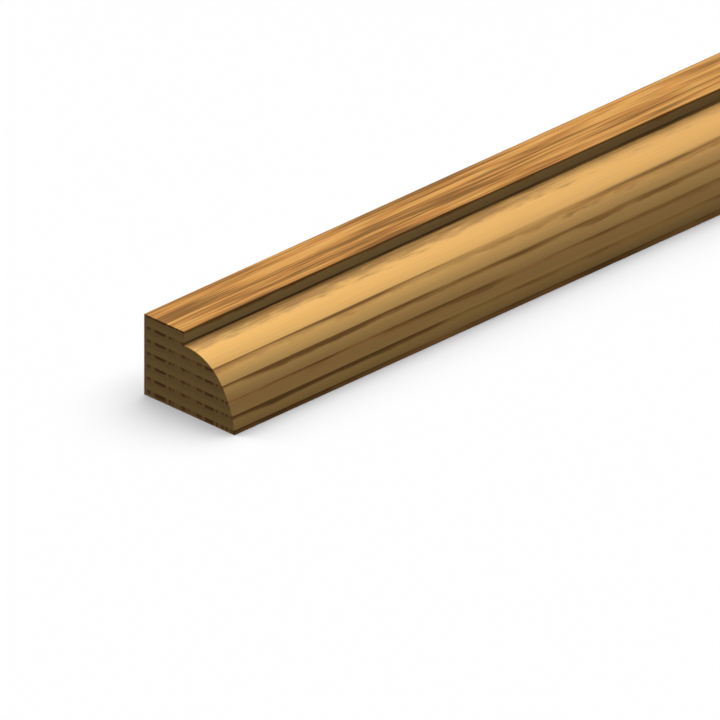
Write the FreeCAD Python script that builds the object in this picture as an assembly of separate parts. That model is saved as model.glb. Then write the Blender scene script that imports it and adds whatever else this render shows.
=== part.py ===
# Sash bead moulding: one planed and moulded stick of softwood, in millimetres.
#
# The stick is a single section run along its whole length. Seen from the end, it has a flat
# fillet on top beside the back face, a quirk that drops square from the fillet to a narrow
# ledge, and an ovolo that rolls from the ledge over the front down to the bottom edge.
#
# Frame: X along the stick, Y across it with the moulded front towards -Y and the plain back
# towards +Y, Z up. The origin is the middle of the bottom face.

import FreeCAD, Part

import math
import os

from FreeCAD import Vector

# Stock
stick_length = 2400.0
section_width = 20.5
section_height = 14.5

# Fillet and quirk
fillet_width = 9.0
quirk_depth = 2.5
ledge_width = 0.75

# Ovolo: a tight shoulder that runs into a flatter front
shoulder_radius = 9.5
shoulder_turn = 52.0

# The square arrises are barely eased: the planer leaves them sharp to the eye. The foot of the
# ovolo stays as the cutter leaves it.
arris_radius = 0.05

# Places worked out from the sizes
near_end = -stick_length / 2
back_face = section_width / 2
front_foot = -section_width / 2
fillet_edge = back_face - fillet_width
shoulder_start = fillet_edge - ledge_width
ledge_level = section_height - quirk_depth
eased_corners = [(back_face, 0), (back_face, section_height), (fillet_edge, section_height)]

# How near two points lie to count as one
same_place = 0.001


def section_point(across, up):
    """A point of the section, in the plane of the near end."""
    return Vector(near_end, across, up)


def arc_by_heading(start, heading, end):
    """The arc that leaves start along heading and passes through end."""
    chord = end - start
    half_way_heading = heading + chord / chord.Length
    middle = start + half_way_heading * (chord.Length / half_way_heading.Length**2)
    return Part.Arc(start, middle, end)


def ovolo():
    """The shoulder arc, tangent to the ledge, and the front arc, tangent to the shoulder."""
    turn = math.radians(shoulder_turn)
    shoulder_drop = shoulder_radius * (1 - math.cos(turn))
    shoulder_reach = shoulder_radius * math.sin(turn)
    top = section_point(shoulder_start, ledge_level)
    joint = section_point(shoulder_start - shoulder_reach, ledge_level - shoulder_drop)
    foot = section_point(front_foot, 0)
    level = Vector(0, -1, 0)
    heading = Vector(0, -math.cos(turn), -math.sin(turn))
    return [arc_by_heading(top, level, joint), arc_by_heading(joint, heading, foot)]


def section_outline():
    """The closed outline with sharp corners, from the back of the bottom round to its front."""
    corners = [
        section_point(front_foot, 0),
        section_point(back_face, 0),
        section_point(back_face, section_height),
        section_point(fillet_edge, section_height),
        section_point(fillet_edge, ledge_level),
        section_point(shoulder_start, ledge_level),
    ]
    flats = [Part.LineSegment(a, b) for a, b in zip(corners, corners[1:])]
    return Part.Wire([curve.toShape() for curve in flats + ovolo()])


def sash_bead():
    """The whole stick: the section run along its length, then its arrises eased."""
    stick = Part.Face(section_outline()).extrude(Vector(stick_length, 0, 0))
    half_way = Vector(stick_length / 2, 0, 0)
    arrises = [half_way + section_point(across, up) for across, up in eased_corners]
    eased = [
        edge
        for edge in stick.Edges
        if any(edge.CenterOfMass.isEqual(arris, same_place) for arris in arrises)
    ]
    return stick.makeFillet(arris_radius, eased)


os.makedirs("parts", exist_ok=True)
sash_bead().exportStep("parts/sash_bead.step")
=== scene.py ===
# The look of the sash bead moulding: one stick of planed European redwood with a clear, flat
# sealer, lying on a pale floor under soft studio light.

import math

import bpy
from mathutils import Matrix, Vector


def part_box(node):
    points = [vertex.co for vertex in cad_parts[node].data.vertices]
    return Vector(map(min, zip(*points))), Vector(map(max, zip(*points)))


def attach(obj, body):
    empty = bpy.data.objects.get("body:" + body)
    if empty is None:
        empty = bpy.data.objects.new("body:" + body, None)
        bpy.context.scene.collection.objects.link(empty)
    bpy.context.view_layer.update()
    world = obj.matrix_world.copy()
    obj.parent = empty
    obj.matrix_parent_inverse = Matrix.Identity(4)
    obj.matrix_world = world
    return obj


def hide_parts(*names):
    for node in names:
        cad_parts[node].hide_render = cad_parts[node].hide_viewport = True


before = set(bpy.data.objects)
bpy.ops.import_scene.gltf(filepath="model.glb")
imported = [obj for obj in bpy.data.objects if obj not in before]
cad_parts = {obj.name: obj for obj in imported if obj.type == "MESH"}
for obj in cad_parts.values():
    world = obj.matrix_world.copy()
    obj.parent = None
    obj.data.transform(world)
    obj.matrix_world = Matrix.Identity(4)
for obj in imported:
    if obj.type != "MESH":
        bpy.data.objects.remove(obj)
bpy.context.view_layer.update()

MM = 0.001

# The stick, as the solid gives it
low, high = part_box("sash_bead")
near_end, far_end = low.x, high.x
front_foot, back_face = low.y, high.y
bottom, top = low.z, high.z
stick_length = far_end - near_end
section_height = top - bottom

# The moulded section
fillet_width = 9.0 * MM
quirk_depth = 2.5 * MM
ledge_width = 0.75 * MM
shoulder_radius = 9.5 * MM
shoulder_turn = math.radians(52)
arris_radius = 0.05 * MM
fillet_edge = back_face - fillet_width
shoulder_start = fillet_edge - ledge_width
ledge_level = top - quirk_depth

# How finely the curves are divided, and the turn below which two faces are shaded as one
shoulder_steps = 26
front_steps = 18
arris_steps = 3
smooth_below = math.radians(30)

# How near two places lie to count as one, and how much of a face's normal points along an axis
# where the face looks that way
same_place = 0.01 * MM
looks_that_way = 0.5

# The photograph's view: parallel, from above, and from 45 degrees round the near end
photo_width = 720
view_azimuth = math.radians(-45)
view_elevation = math.radians(27)
pixels_per_mm = 6.238
back_corner_pixel = (144.13, 313.70)
camera_distance = 1.5

# Two wide soft boxes overhead: where each one lies, half its width in degrees, and its share
# of the light on the floor
soft_boxes = [
    ("soft_box_overhead", (0.336, 0.063, 1), 35, 0.73),
    ("soft_box_behind", (-0.4, 0.85, 1), 18, 0.27),
]
light_level = 1.07

# The floor and the room are white to the camera, and give the stick next to no light
floor_width = 40
floor_white = "#f6f6f6"
floor_grey = "#101010"
room_white = "#fefefe"
room_light = 0.01

# Noise runs from 0 to 1 about this middle
noise_middle = 0.5

# All sizes and depths in the wood are in mm. Depths run down from the top face, or from the start
# of a ring.

# Growth rings lie nearly flat in the stick. The first one begins just above the top face. They
# spread towards the front: for each mm across, by this share of their depth. They rise and fall
# along the stick by wave_reach either way, not at all at the top face and in full from
# wave_full_depth on, and they wander a little.
ring_pitch = 2.264
first_ring_above = 0.2
ring_spread = 0.0013
wave_length = 600
wave_reach = 0.5
wave_full_depth = 3.2
ring_wander = 0.12

# Zones down the stick, each of which comes in between two depths. The ring that begins on the
# riser shows as a dark band on the shoulder beside the quirk, and what is said of the band holds
# from below the top ring down to the even rings.
zones = {
    "below top ring": (1.1, 1.5),
    "lower rings": (3.2, 3.8),
    "front": (4.0, 6.9),
    "even rings": (5.6, 6.2),
    "foot line": (13.55, 13.75),
}

# The late wood of a ring begins sharply, between two depths. In places in the lower rings it
# begins softly instead, from the one level of noise to the other, and then ends a little deeper.
sharp_start = (-0.03, 0.07)
soft_start_end = 0.35
soft_start_noise = (0.3, 0.55)
soft_start_reach = 0.14

# It fades out between two depths. This lower edge is ragged, less so in the even rings. It lies
# deeper under a dark streak, less so in the band, and deeper in the top ring and the band.
late_wood_fade = (0.12, 0.62)
ragged_depth = 0.8
even_ragged_depth = 0.4
streak_reach = 0.25
band_streak_reach = 0.12
top_ring_reach = 0.15
band_reach = 0.22

# A streak is darkest at the start of the late wood, and paler at its lower edge, which counts from
# edge_strength_depth on. In the lower rings a streak keeps more of its strength down there the
# darker it is, from the one darkness to the other.
streak_strength = 1.45
edge_strength = 0.42
edge_strength_depth = 0.5
dark_streaks = (0.45, 0.85)
dark_edge_strength = 0.6

# Under the top arris the late wood is a plain line that reaches deeper, and along the foot the
# wood is darker in the same way, down to the bottom edge. The upper line lies about top_line_depth,
# and fades between two distances from there. The foot's line is darker where the rings begin
# sharply, and paler where they begin softly.
top_line_depth = 0.21
top_line_fade = (0.12, 0.2)
top_line_darkness = 0.3
foot_line_darkness = (0.2, -0.1)
line_reach = 0.6

# In the end grain the late wood fades out evenly, and deeper under a dark dash; along the foot the
# wood is darker down to the bottom edge. A brown line runs down the back edge, and fades between
# two distances from the back face.
end_fade = (0.28, 0.75)
end_streak_reach = 0.2
end_foot_reach = 0.2
back_line_fade = (0.4, 0.5)
back_line_share = 0.9

# The streaks in the late wood, from broad pools to fine threads: each kind's length and width, and
# its finer octaves
streak_kinds = {
    "pools": ((60, 3.4), 0),
    "bands": ((80, 1.7), 0),
    "lines": ((30, 0.9), 0),
    "threads": ((20, 0.5), 0),
    "flecks": ((9, 0.3), 1),
}

# Where the pattern of each kind starts, picked by trying many. The upper rings have their own
# streaks, the lower rings all show the same ones, and the end grain has its dashes.
streaks_above = {
    "pools": (197.5, 183.8),
    "bands": (177.2, 778.7),
    "lines": (546.5, 268.7),
    "threads": (624.2, 948.6),
    "flecks": (5.2, 3.7),
}
streaks_below = {
    "pools": (761.1, 921.6),
    "bands": (333.5, 766.9),
    "lines": (826.6, 402.4),
    "threads": (498.9, 1775.6),
    "flecks": (5.2, 3.7),
}
streaks_in_end = {
    "pools": (926.9, 512.4),
    "bands": (273.1, 210.5),
    "lines": (49.1, 432.5),
    "threads": (761.8, 608.1),
    "flecks": (465.3, 604.9),
}

# The back face cuts all the rings, so there each ring's streaks lie this much further across than
# those of the ring above it
ring_shift_on_back = 7.3

# The other marks: each one's size, where its pattern starts, and its finer octaves. Those seen from
# above have a length and a width, and those in the rings a length and a depth. Real fibres and
# their open ends are some 0.03 mm wide: here they are as coarse as they need to be to show.
wander_marks = {"wander": ((45, 9), (3.3, 8.1), 1)}
planed_marks = {
    "ragged edge": ((5, 0.8), (1.7, 40.2), 2),
    "softness": ((150, 30), (21.3, 97.0), 0),
    "olive tint": ((9, 0.35, 0.35), (0.3, 0.6, 0.9), 1),
    "fibres": ((14, 0.22, 0.22), (7.1, 3.2, 1.4), 2),
}
marks_in_rings = {"deep colour": ((300, 3.4), (24.6, 122.3), 0)}
end_marks = {"fibre ends": ((0.3, 0.16, 0.16), (2.6, 5.2, 8.4), 1)}

# Each kind's share of the darkness, along the grain and in the end, and the darkness they lie about
streak_shares = {"pools": 1.05, "bands": 1.1, "lines": 1.1, "threads": 1.4, "flecks": 1.1}
streak_mean = 0.57
end_shares = {"pools": 1.35, "bands": 0.75, "lines": 0.85, "threads": 0.65, "flecks": 0.5}
end_mean = 0.53

# Redwood under a clear sealer, along the grain. The early wood is paler and deeper by turns, and
# takes a faint share of the streaks.
early_pale = "#fdc774"
early_deep = "#c9975a"
deep_colour_share = 1.61
deep_colour_level = -0.145
early_streak_share = 0.03

# The early wood of the top ring is greener and duller, down to these two depths: painted cool
# shade for the riser, which tints the top ring's early wood on the top face too. Below it the
# early wood is a little warmer on the shoulder, and greener and darker down the front: painted
# cool shade there too.
early_above_shade_tint = {"Hue": 0.5065, "Saturation": 0.943, "Value": 0.915}
early_above_end = (1.9, 2.3)
early_shoulder = {"Hue": 0.499, "Saturation": 1.01, "Value": 1.015}
early_front_shade_tint = {"Hue": 0.504, "Saturation": 0.982, "Value": 0.96}

# The late wood, from its light streaks to its dark ones. It has olive threads in it, between two
# levels of noise, and turns olive below the top ring, by half as much in the lower rings.
late_streaks = [
    (0.0, "#d49a51"),
    (0.25, "#c78b47"),
    (0.5, "#b67c3c"),
    (0.75, "#a36d32"),
    (1.0, "#845826"),
]
olive_threads = {"Hue": 0.514, "Saturation": 0.98, "Value": 0.92}
olive_thread_noise = (0.48, 0.7)
olive_below = {"Hue": 0.509, "Saturation": 0.93, "Value": 1.0}
olive_share_lower = 0.5

# The same wood cut across, duller, partly because the end grain drinks the sealer and partly as
# painted shade on the end face: the early wood from the sharp start of the ring to its end, and
# the late wood between its dashes and in them
end_early_and_shade = [
    (0.0, "#d1a868"),
    (0.27, "#c99f63"),
    (0.45, "#c19b61"),
    (0.66, "#cea566"),
    (0.75, "#d1a868"),
]
end_late_and_shade = [(0.0, "#cb9c5e"), (0.35, "#c3925a"), (0.65, "#986a3b"), (1.0, "#7f552c")]

# The finish: fibres and their ends, between two levels of noise, darken and lighten the wood a
# little and stand up by their relief in mm. The flat sealer leaves hardly any gloss.
fine_noise = (0.25, 0.75)
fine_tone = (0.95, 1.05)
fibre_relief = 0.02
fibre_end_relief = 0.03
relief_strength = 0.5
planed_roughness = (0.52, 0.68)
end_roughness = 0.8
sealer_gloss = 0.1


def linear(hex_colour):
    """An sRGB hex colour as the linear values that the shaders take."""
    values = [int(hex_colour[i : i + 2], 16) / 255 for i in (1, 3, 5)]
    return [v / 12.92 if v <= 0.04045 else ((v + 0.055) / 1.055) ** 2.4 for v in values] + [1.0]


def add(tree, kind, inputs=None, stops=None, **settings):
    """Adds a node: its settings, its colour stops, and its inputs as values, nodes or sockets. A
    range is given as one input, From or To, with its two ends."""
    made = tree.nodes.new("ShaderNode" + kind)
    for name, value in settings.items():
        setattr(made, name, value)
    if stops:
        first, *middle, last = stops
        ramp = made.color_ramp.elements
        for stop, (position, colour) in zip(ramp, (first, last)):
            stop.position, stop.color = position, linear(colour)
        for position, colour in middle:
            ramp.new(position).color = linear(colour)
    wanted = dict(inputs or {})
    for ends in ("From", "To"):
        if ends in wanted:
            wanted[ends + " Min"], wanted[ends + " Max"] = wanted.pop(ends)
    for socket, value in wanted.items():
        if isinstance(value, bpy.types.Node):
            value = next(output for output in value.outputs if output.enabled)
        if isinstance(value, bpy.types.NodeSocket):
            tree.links.new(value, made.inputs[socket])
        else:
            made.inputs[socket].default_value = value
    return made


def new_material(name):
    """An empty material with its node tree ready, and its output node."""
    material = bpy.data.materials.new(name)
    material.use_nodes = True
    material.node_tree.nodes.clear()
    return material, material.node_tree, add(material.node_tree, "OutputMaterial")


def select_edges(mesh_object, wanted):
    """In edit mode, selects exactly the edges whose two ends pass a test."""
    bpy.ops.mesh.select_all(action="DESELECT")
    bpy.ops.object.mode_set(mode="OBJECT")
    places = mesh_object.data.vertices
    for edge in mesh_object.data.edges:
        edge.select = all(wanted(places[corner].co) for corner in edge.vertices)
    bpy.ops.object.mode_set(mode="EDIT")


def at(place, value):
    """Whether a measure of a place has a value."""
    return abs(place - value) < same_place


def extrude_by(across, up):
    """Runs the selected long edge out to a new one, which stays selected."""
    bpy.ops.mesh.extrude_region_move(TRANSFORM_OT_translate={"value": (0, across, up)})


def front_arc():
    """Centre and turn of the arc that leaves the shoulder smoothly and ends at the foot."""
    shoulder_centre = Vector((0, shoulder_start, ledge_level - shoulder_radius))
    outward = Vector((0, -math.sin(shoulder_turn), math.cos(shoulder_turn)))
    foot = Vector((0, front_foot, bottom))
    reach = foot - shoulder_centre
    slack = 2 * (shoulder_radius - reach.dot(outward))
    radius = shoulder_radius + (reach.length_squared - shoulder_radius**2) / slack
    centre = shoulder_centre - outward * (radius - shoulder_radius)
    return centre, outward.angle(foot - centre)


def moulded_stick():
    """The stick: the long back edge run round the section, then closed under and at its ends."""
    bpy.ops.mesh.primitive_plane_add(
        size=1,
        location=(0, back_face, (bottom + top) / 2),
        rotation=(math.pi / 2, 0, 0),
    )
    stick = bpy.context.object
    stick.name = "moulded_stick"
    stick.scale = (stick_length, section_height, 1)
    bpy.ops.object.transform_apply(location=True, rotation=True, scale=True)
    bpy.ops.object.mode_set(mode="EDIT")
    bpy.ops.mesh.select_mode(type="EDGE")

    select_edges(stick, lambda place: at(place.z, top))
    extrude_by(-fillet_width, 0)
    extrude_by(0, -quirk_depth)
    extrude_by(-ledge_width, 0)
    shoulder_centre = (0, shoulder_start, ledge_level - shoulder_radius)
    bpy.ops.mesh.spin(
        steps=shoulder_steps, angle=shoulder_turn, center=shoulder_centre, axis=(-1, 0, 0)
    )
    front_centre, front_turn = front_arc()
    bpy.ops.mesh.spin(steps=front_steps, angle=front_turn, center=front_centre, axis=(-1, 0, 0))

    select_edges(stick, lambda place: at(place.z, bottom))
    bpy.ops.mesh.edge_face_add()
    for end in (near_end, far_end):
        select_edges(stick, lambda place: at(place.x, end))
        bpy.ops.mesh.edge_face_add()
    bpy.ops.mesh.select_all(action="SELECT")
    bpy.ops.mesh.normals_make_consistent(inside=False)

    square_corners = [(back_face, bottom), (back_face, top), (fillet_edge, top)]
    for across, up in square_corners:
        select_edges(stick, lambda place: at(place.y, across) and at(place.z, up))
        bpy.ops.mesh.bevel(offset=arris_radius, segments=arris_steps, affect="EDGES")
    bpy.ops.object.mode_set(mode="OBJECT")
    bpy.ops.object.shade_smooth_by_angle(angle=smooth_below)
    return stick


def marks(tree, place, wanted):
    """The noises that draw the marks, by name, each stretched to its size: over two measures of
    the place, or over all three."""
    made = {}
    for name, (size, start, octaves) in wanted.items():
        unused = 3 - len(size)
        stretched = add(
            tree,
            "Mapping",
            {
                "Vector": place,
                "Location": [*start] + [0] * unused,
                "Scale": [1 / length for length in size] + [1] * unused,
            },
        )
        made[name] = add(
            tree,
            "TexNoise",
            {"Vector": stretched, "Scale": 1.0, "Detail": octaves},
            noise_dimensions="2D" if unused else "3D",
        )
    return made


def ring_depth(tree, wood):
    """How far a point lies below the start of the first growth ring."""
    turn = add(tree, "Math", {0: wood["along"], 1: 2 * math.pi / wave_length}, operation="MULTIPLY")
    crest = add(tree, "Math", {0: turn}, operation="COSINE")
    wave = add(tree, "Math", {0: crest, 1: -wave_reach, 2: wave_reach}, operation="MULTIPLY_ADD")
    share = add(tree, "MapRange", {"Value": wood["down"], "From": (0.0, wave_full_depth)})
    slope = add(
        tree, "Math", {0: wood["across"], 1: -ring_spread, 2: 1.0}, operation="MULTIPLY_ADD"
    )
    depth = add(
        tree, "Math", {0: wood["down"], 1: slope, 2: first_ring_above}, operation="MULTIPLY_ADD"
    )
    depth = add(
        tree, "Math", {0: wood["wander"], 1: ring_wander, 2: depth}, operation="MULTIPLY_ADD"
    )
    return add(tree, "Math", {0: wave, 1: share, 2: depth}, operation="MULTIPLY_ADD")


def redwood(name):
    """A new material, its node tree and output, and what every cut of this wood knows of a point
    in it, by name: its place, from the near end's top back corner, and its place in the rings."""
    material, tree, output = new_material(name)
    place = add(
        tree,
        "Mapping",
        {
            "Vector": add(tree, "TexCoord").outputs["Object"],
            "Location": (-near_end / MM, back_face / MM, top / MM),
            "Scale": (1 / MM, -1 / MM, -1 / MM),
        },
    )
    wood = {"place": place, **marks(tree, place, wander_marks)}
    wood["along"], wood["across"], wood["down"] = add(tree, "SeparateXYZ", {0: place}).outputs
    wood["depth"] = ring_depth(tree, wood)
    wood["into ring"] = add(
        tree, "Math", {0: wood["depth"], 1: ring_pitch}, operation="FLOORED_MODULO"
    )
    return material, tree, output, wood


def streaks(tree, place, starts, shares, mean):
    """The streaks of the late wood, from about 0 in the light ones to 1 in the dark ones. They
    run along the stick and are the same at every depth, so each ring shows them again."""
    wanted = {
        kind: (size, starts[kind], octaves) for kind, (size, octaves) in streak_kinds.items()
    }
    level = mean - sum(shares.values()) * noise_middle
    for kind, layer in marks(tree, place, wanted).items():
        level = add(tree, "Math", {0: layer, 1: shares[kind], 2: level}, operation="MULTIPLY_ADD")
    return level


def streaks_along_grain(tree, wood):
    """The streaks of the planed faces, shifted ring by ring on the back face."""
    normal = add(tree, "SeparateXYZ", {0: add(tree, "TexCoord").outputs["Normal"]}).outputs["Y"]
    on_back = add(tree, "Math", {0: normal, 1: looks_that_way}, operation="GREATER_THAN")
    rings_down = add(tree, "Math", {0: wood["depth"], 1: ring_pitch}, operation="DIVIDE")
    ring = add(tree, "Math", {0: rings_down}, operation="FLOOR")
    shift = add(tree, "Math", {0: ring, 1: ring_shift_on_back}, operation="MULTIPLY")
    across = add(
        tree, "Math", {0: on_back, 1: shift, 2: wood["across"]}, operation="MULTIPLY_ADD"
    )
    place = add(tree, "CombineXYZ", {0: wood["along"], 1: across})
    upper = streaks(tree, place, streaks_above, streak_shares, streak_mean)
    lower = streaks(tree, place, streaks_below, streak_shares, streak_mean)
    return add(tree, "Mix", {"Factor": wood["lower rings"], "A": upper, "B": lower})


def top_line(tree, wood):
    """1 in the dark line under the top arris, else 0."""
    off = add(tree, "Math", {0: wood["down"], 1: top_line_depth}, operation="SUBTRACT")
    off = add(tree, "Math", {0: off}, operation="ABSOLUTE")
    return add(tree, "MapRange", {"Value": off, "From": top_line_fade, "To": (1.0, 0.0)})


def late_wood(tree, wood, start, lower_edge, fade):
    """1 in a ring's late wood, from its start down to where its lower edge fades out, else 0."""
    begun = add(
        tree,
        "MapRange",
        {"Value": wood["into ring"], "From": start},
        interpolation_type="SMOOTHSTEP",
    )
    left = add(
        tree,
        "MapRange",
        {"Value": lower_edge, "From": fade, "To": (1.0, 0.0)},
        interpolation_type="SMOOTHSTEP",
    )
    return add(tree, "Math", {0: begun, 1: left}, operation="MULTIPLY")


def ragged_lower_edge(tree, wood):
    """A point's depth in its ring, as the fade of the late wood reads it: ragged, and less where
    the late wood reaches deeper."""
    ragged = add(tree, "Math", {0: wood["ragged edge"], 1: noise_middle}, operation="SUBTRACT")
    depth = add(
        tree, "MapRange", {"Value": wood["even rings"], "To": (ragged_depth, even_ragged_depth)}
    )
    edge = add(tree, "Math", {0: ragged, 1: depth, 2: wood["into ring"]}, operation="MULTIPLY_ADD")
    above_even = add(tree, "Math", {0: 1.0, 1: wood["even rings"]}, operation="SUBTRACT")
    band = add(tree, "Math", {0: wood["below top ring"], 1: above_even}, operation="MULTIPLY")
    by_streak = add(
        tree, "MapRange", {"Value": band, "To": (-streak_reach, -band_streak_reach)}
    )
    edge = add(tree, "Math", {0: wood["streak"], 1: by_streak, 2: edge}, operation="MULTIPLY_ADD")
    in_upper = add(tree, "MapRange", {"Value": band, "To": (-top_ring_reach, -band_reach)})
    by_ring = add(tree, "MapRange", {"Value": wood["even rings"], "To": (in_upper, 0.0)})
    edge = add(tree, "Math", {0: edge, 1: by_ring}, operation="ADD")
    edge = add(tree, "Math", {0: wood["line"], 1: -line_reach, 2: edge}, operation="MULTIPLY_ADD")
    return add(
        tree,
        "Math",
        {0: wood["soft start"], 1: -soft_start_reach, 2: edge},
        operation="MULTIPLY_ADD",
    )


def streak_darkness(tree, wood):
    """How dark the late wood is at a point: by its streak, and by the lines at top and foot."""
    kept = add(
        tree,
        "MapRange",
        {"Value": wood["lower rings"], "To": (edge_strength, dark_edge_strength)},
    )
    at_edge = add(
        tree,
        "MapRange",
        {"Value": wood["streak"], "From": dark_streaks, "To": (edge_strength, kept)},
    )
    strength = add(
        tree,
        "MapRange",
        {
            "Value": wood["into ring"],
            "From": (0.0, edge_strength_depth),
            "To": (streak_strength, at_edge),
        },
        interpolation_type="SMOOTHSTEP",
    )
    darkness = add(tree, "Math", {0: wood["streak"], 1: strength}, operation="MULTIPLY")
    darkness = add(
        tree,
        "Math",
        {0: wood["top line"], 1: top_line_darkness, 2: darkness},
        operation="MULTIPLY_ADD",
    )
    at_foot = add(tree, "MapRange", {"Value": wood["soft rings"], "To": foot_line_darkness})
    return add(
        tree, "Math", {0: wood["foot line"], 1: at_foot, 2: darkness}, operation="MULTIPLY_ADD"
    )


def late_colour(tree, wood, darkness):
    """The brown of the late wood, with its olive threads."""
    brown = add(tree, "ValToRGB", {"Fac": darkness}, stops=late_streaks)
    share = add(tree, "MapRange", {"Value": wood["lower rings"], "To": (1.0, olive_share_lower)})
    olive = add(tree, "Math", {0: wood["below top ring"], 1: share}, operation="MULTIPLY")
    brown = add(tree, "HueSaturation", {"Color": brown, "Fac": olive, **olive_below})
    thread = add(tree, "MapRange", {"Value": wood["olive tint"], "From": olive_thread_noise})
    return add(tree, "HueSaturation", {"Color": brown, "Fac": thread, **olive_threads})


def early_colour(tree, wood):
    """The pale early wood, with its tones from the top ring down to the front."""
    deep = add(
        tree,
        "Math",
        {0: wood["deep colour"], 1: deep_colour_share, 2: deep_colour_level},
        operation="MULTIPLY_ADD",
        use_clamp=True,
    )
    pale = add(
        tree,
        "Mix",
        {"Factor": deep, "A": linear(early_pale), "B": linear(early_deep)},
        data_type="RGBA",
    )
    above = add(
        tree, "MapRange", {"Value": wood["down"], "From": early_above_end, "To": (1.0, 0.0)}
    )
    # The greener, duller tints of the top ring and of the front are painted cool shade, for the
    # riser and the lower front
    pale = add(tree, "HueSaturation", {"Color": pale, "Fac": above, **early_above_shade_tint})
    pale = add(tree, "HueSaturation", {"Color": pale, "Fac": wood["front"], **early_front_shade_tint})
    elsewhere = add(tree, "Math", {0: above, 1: wood["front"]}, operation="ADD")
    shoulder = add(tree, "Math", {0: 1.0, 1: elsewhere}, operation="SUBTRACT")
    return add(tree, "HueSaturation", {"Color": pale, "Fac": shoulder, **early_shoulder})


def sealed_surface(tree, output, colour, fine, relief, roughness):
    """The wood under its flat sealer, with its fine marks in tone and relief."""
    tone = add(tree, "MapRange", {"Value": fine, "From": fine_noise, "To": fine_tone})
    toned = add(tree, "HueSaturation", {"Color": colour, "Value": tone})
    bump = add(
        tree, "Bump", {"Height": fine, "Strength": relief_strength, "Distance": relief * MM}
    )
    shader = add(
        tree,
        "BsdfPrincipled",
        {
            "Base Color": toned,
            "Roughness": roughness,
            "Normal": bump,
            "Specular IOR Level": sealer_gloss,
        },
    )
    tree.links.new(shader.outputs[0], output.inputs["Surface"])


def planed_redwood():
    """Planed redwood, seen along the grain: pale early wood with a brown late-wood line at each
    ring, sharp where the line begins and fading below it, under a flat sealer."""
    material, tree, output, wood = redwood("planed_redwood_clear_sealed")
    wood.update(marks(tree, wood["place"], planed_marks))
    in_rings = add(tree, "CombineXYZ", {0: wood["along"], 1: wood["depth"]})
    wood.update(marks(tree, in_rings, marks_in_rings))
    for zone, depths in zones.items():
        wood[zone] = add(tree, "MapRange", {"Value": wood["down"], "From": depths})
    wood["streak"] = streaks_along_grain(tree, wood)
    wood["top line"] = top_line(tree, wood)
    wood["line"] = add(
        tree, "Math", {0: wood["top line"], 1: wood["foot line"]}, operation="MAXIMUM"
    )
    wood["soft rings"] = add(
        tree, "MapRange", {"Value": wood["softness"], "From": soft_start_noise}
    )
    off_line = add(tree, "Math", {0: 1.0, 1: wood["line"]}, operation="SUBTRACT")
    allowed = add(tree, "Math", {0: wood["lower rings"], 1: off_line}, operation="MULTIPLY")
    wood["soft start"] = add(
        tree, "Math", {0: wood["soft rings"], 1: allowed}, operation="MULTIPLY"
    )

    sharp_from, sharp_end = sharp_start
    start_end = add(
        tree, "MapRange", {"Value": wood["soft start"], "To": (sharp_end, soft_start_end)}
    )
    lower_edge = ragged_lower_edge(tree, wood)
    late_share = late_wood(tree, wood, (sharp_from, start_end), lower_edge, late_wood_fade)
    darkness = streak_darkness(tree, wood)
    faint = add(
        tree, "Math", {0: darkness, 1: early_streak_share}, operation="MULTIPLY", use_clamp=True
    )
    late_share = add(tree, "Math", {0: late_share, 1: faint}, operation="MAXIMUM")
    early = early_colour(tree, wood)
    late = late_colour(tree, wood, darkness)
    colour = add(tree, "Mix", {"Factor": late_share, "A": early, "B": late}, data_type="RGBA")
    roughness = add(tree, "MapRange", {"Value": wood["fibres"], "To": planed_roughness})
    sealed_surface(tree, output, colour, wood["fibres"], fibre_relief, roughness)
    return material


def sawn_end_grain():
    """The same wood cut square across: the rings as rows, with a dash where each streak of the
    late wood comes out, and a brown line down the back edge."""
    material, tree, output, wood = redwood("sawn_redwood_end_grain")
    wood.update(marks(tree, wood["place"], end_marks))
    streak = streaks(tree, wood["place"], streaks_in_end, end_shares, end_mean)
    darker = add(tree, "Math", {0: streak, 1: end_mean}, operation="SUBTRACT")
    line = top_line(tree, wood)
    foot = add(tree, "MapRange", {"Value": wood["down"], "From": zones["foot line"]})
    edge = wood["into ring"]
    for share, reach in ((line, line_reach), (foot, end_foot_reach), (darker, end_streak_reach)):
        edge = add(tree, "Math", {0: share, 1: -reach, 2: edge}, operation="MULTIPLY_ADD")
    late_share = late_wood(tree, wood, sharp_start, edge, end_fade)
    back_line = add(
        tree,
        "MapRange",
        {"Value": wood["across"], "From": back_line_fade, "To": (back_line_share, 0.0)},
    )
    late_share = add(tree, "Math", {0: late_share, 1: back_line}, operation="MAXIMUM")

    within = add(tree, "Math", {0: wood["into ring"], 1: ring_pitch}, operation="DIVIDE")
    # The end grain's colours carry painted shade on the end face as well as its own duller tone
    early = add(tree, "ValToRGB", {"Fac": within}, stops=end_early_and_shade)
    darkness = add(
        tree, "Math", {0: line, 1: top_line_darkness, 2: streak}, operation="MULTIPLY_ADD"
    )
    dashes = add(tree, "ValToRGB", {"Fac": darkness}, stops=end_late_and_shade)
    colour = add(tree, "Mix", {"Factor": late_share, "A": early, "B": dashes}, data_type="RGBA")
    sealed_surface(tree, output, colour, wood["fibre ends"], fibre_end_relief, end_roughness)
    return material


def seen_directly(tree):
    """1 to the camera and in reflections, 0 to the light."""
    ray = add(tree, "LightPath").outputs
    return add(
        tree, "Math", {0: ray["Is Camera Ray"], 1: ray["Is Glossy Ray"]}, operation="MAXIMUM"
    )


def pale_floor():
    """A floor that is white to the eye and keeps the shadow, and bounces hardly any light."""
    bpy.ops.mesh.primitive_plane_add(size=floor_width, location=(0, 0, bottom))
    floor = bpy.context.object
    floor.name = "floor"
    material, tree, output = new_material("matt_white_board")
    white = add(tree, "BsdfDiffuse", {"Color": linear(floor_white)})
    grey = add(tree, "BsdfDiffuse", {"Color": linear(floor_grey)})
    mixed = add(tree, "MixShader", {0: seen_directly(tree), 1: grey, 2: white})
    tree.links.new(mixed.outputs[0], output.inputs["Surface"])
    floor.data.materials.append(material)


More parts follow.
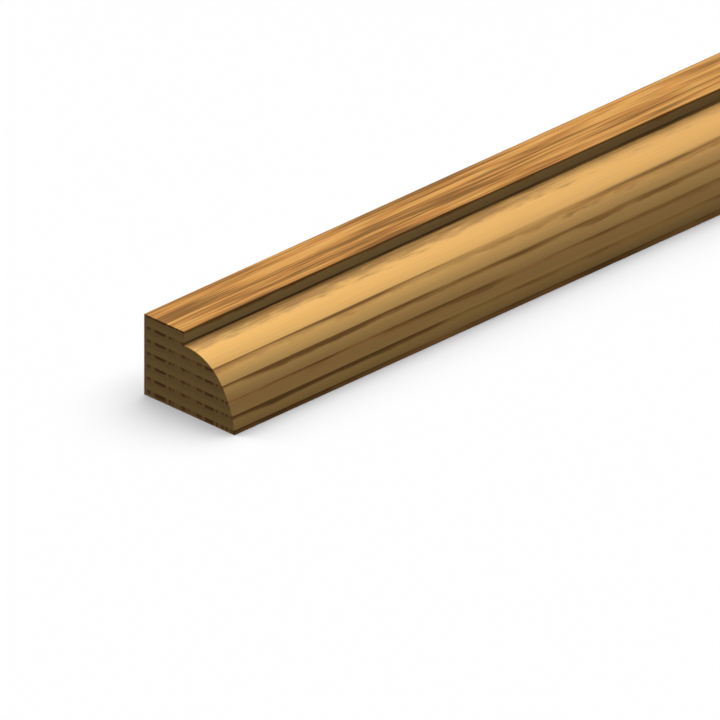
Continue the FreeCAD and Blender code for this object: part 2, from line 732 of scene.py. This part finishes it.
def lamps():
    """The soft boxes, each as strong as it takes to light the floor by its share. The wood is too
    rough to mirror them, so they need no rays of that kind."""
    for name, towards, half_width, share in soft_boxes:
        towards = Vector(towards)
        lamp = bpy.data.lights.new(name, "SUN")
        lamp.angle = 2 * math.radians(half_width)
        lamp.energy = math.pi * share * light_level * towards.length / towards.z
        lamp.cycles.use_multiple_importance_sampling = False
        holder = bpy.data.objects.new(name, lamp)
        holder.rotation_mode = "QUATERNION"
        holder.rotation_quaternion = towards.to_track_quat("Z", "Y")
        bpy.context.scene.collection.objects.link(holder)


def white_room():
    """A room that is white behind the stick and gives hardly any light."""
    world = bpy.data.worlds.new("white_room")
    bpy.context.scene.world = world
    world.use_nodes = True
    tree = world.node_tree
    tree.nodes.clear()
    output = add(tree, "OutputWorld")
    strength = add(
        tree,
        "Math",
        {0: seen_directly(tree), 1: 1 - room_light, 2: room_light},
        operation="MULTIPLY_ADD",
    )
    background = add(tree, "Background", {"Color": linear(room_white), "Strength": strength})
    tree.links.new(background.outputs[0], output.inputs["Surface"])


def camera():
    """The camera, placed so that the stick's near back corner falls where the photograph has it."""
    right = Vector((math.cos(view_azimuth), math.sin(view_azimuth), 0))
    back = Vector((
        math.sin(view_azimuth) * math.cos(view_elevation),
        -math.cos(view_azimuth) * math.cos(view_elevation),
        math.sin(view_elevation),
    ))
    up = back.cross(right)
    mm_right = (back_corner_pixel[0] - photo_width / 2) / pixels_per_mm
    mm_up = (photo_width / 2 - back_corner_pixel[1]) / pixels_per_mm
    corner = Vector((near_end, back_face, top))
    aim = corner - (right * mm_right + up * mm_up) * MM
    data = bpy.data.cameras.new("camera")
    data.type = "ORTHO"
    data.ortho_scale = photo_width / pixels_per_mm * MM
    data.clip_end = 2 * camera_distance
    holder = bpy.data.objects.new("camera", data)
    holder.location = aim + back * camera_distance
    holder.rotation_mode = "QUATERNION"
    holder.rotation_quaternion = back.to_track_quat("Z", "Y")
    bpy.context.scene.collection.objects.link(holder)
    bpy.context.scene.camera = holder


bpy.ops.object.select_all(action="DESELECT")
stick = moulded_stick()
stick.data.materials.append(planed_redwood())
stick.data.materials.append(sawn_end_grain())
for face in stick.data.polygons:
    if abs(face.normal.x) > looks_that_way:
        face.material_index = 1

# No light bounces off the stick, so that its shadow stays grey, and its riser and end dark
stick.visible_diffuse = False
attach(stick, "root")
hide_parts("sash_bead")
pale_floor()
lamps()
white_room()
camera()
bpy.context.scene.view_settings.view_transform = "Standard"
